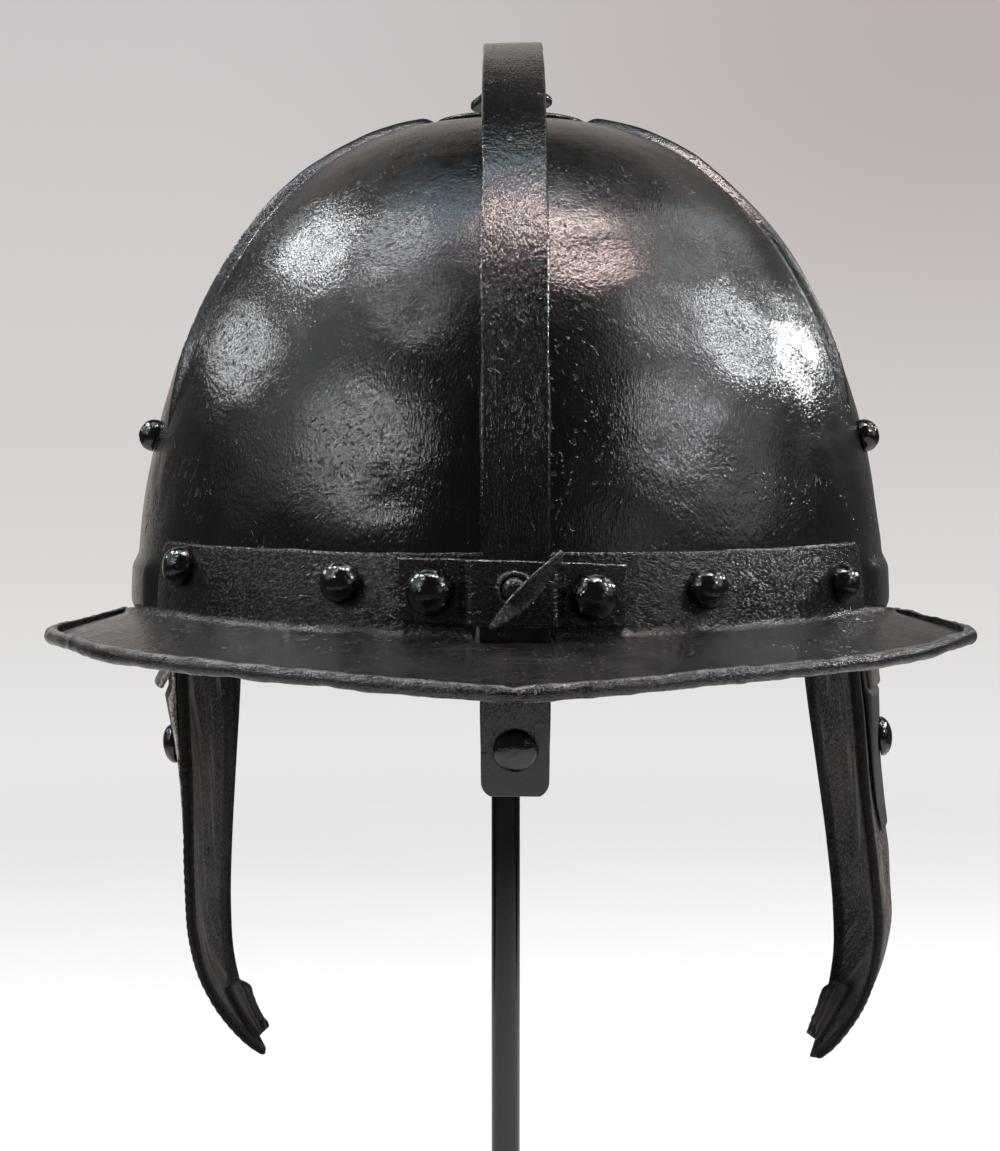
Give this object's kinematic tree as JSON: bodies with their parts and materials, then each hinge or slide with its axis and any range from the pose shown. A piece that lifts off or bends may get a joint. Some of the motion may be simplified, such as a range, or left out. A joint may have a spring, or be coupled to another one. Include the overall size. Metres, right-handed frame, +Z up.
{
  "type": "lobster-tail pot helmet on a rod stand",
  "caption": "Blackened iron helmet with ribbed bowl, pointed peak, sliding nasal bar, leaf-shaped cheekpieces and a jointed neck guard, held on a plain rod stand.",
  "frame": {"origin": "centre of the underside of the stand's base", "axes": "+Z up, the helmet's face looks along -Y, +X to the right of someone facing the helmet"},
  "size_m": [0.2406, 0.3544, 0.3978],
  "materials": {
    "skull_iron": "black from the hammer under an old glossy varnish, hammered and finely pitted",
    "peak_iron": "black varnished plate, duller on top, worn bright along the fold",
    "bar_iron": "black varnished flat stock with worn edges",
    "staple_iron": "black varnished forged plate",
    "rivet_iron": "glossy black domed heads",
    "cheek_iron": "dark brown-black iron, streaked along its length",
    "tail_iron": "black varnished plates with worn edges",
    "strap_leather": "old dark brown leather with cut edges",
    "stand_steel": "satin black enamel",
    "pad_felt": "black felt"
  },
  "bodies": {
    "helmet": {"apex_rosette": "skull_iron", "band_rivet_1": "rivet_iron", "band_rivet_2": "rivet_iron", "band_rivet_3": "rivet_iron", "band_rivet_4": "rivet_iron", "cheek_rivet_left": "rivet_iron", "cheek_rivet_right": "rivet_iron", "cheek_strap_left": "strap_leather", "cheek_strap_right": "strap_leather", "cheekpiece_left": "cheek_iron", "cheekpiece_right": "cheek_iron", "chin_tab_left": "cheek_iron", "chin_tab_right": "cheek_iron", "peak": "peak_iron", "side_rivet_left": "rivet_iron", "side_rivet_right": "rivet_iron", "skull": "skull_iron", "stand_base": "stand_steel", "stand_pad": "pad_felt", "stand_rod": "stand_steel", "staple": "staple_iron", "staple_rivet_left": "rivet_iron", "staple_rivet_right": "rivet_iron", "tail_lame_1": "tail_iron", "tail_lame_2": "tail_iron", "tail_lame_3": "tail_iron", "tail_lame_4": "tail_iron", "tail_rivet_0_left": "rivet_iron", "tail_rivet_0_right": "rivet_iron", "tail_rivet_1_left": "rivet_iron", "tail_rivet_1_right": "rivet_iron", "tail_rivet_2_left": "rivet_iron", "tail_rivet_2_right": "rivet_iron", "tail_rivet_3_left": "rivet_iron", "tail_rivet_3_right": "rivet_iron"},
    "nasal": {"nasal_bar": "bar_iron", "nasal_knob": "rivet_iron"},
    "screw": {"wing_screw": "staple_iron"}
  },
  "joints": [
    {"name": "nasal_slide", "type": "hinge", "parent": "helmet", "child": "nasal", "pos_m": [0, 0.0258, 0.2519], "axis": [1, 0, 0], "range_deg": [-5.5, 24]},
    {"name": "screw_turn", "type": "hinge", "parent": "helmet", "child": "screw", "pos_m": [0.0005, -0.1221, 0.251], "axis": [0, -1, 0], "range_deg": [-70, 160]}
  ]
}
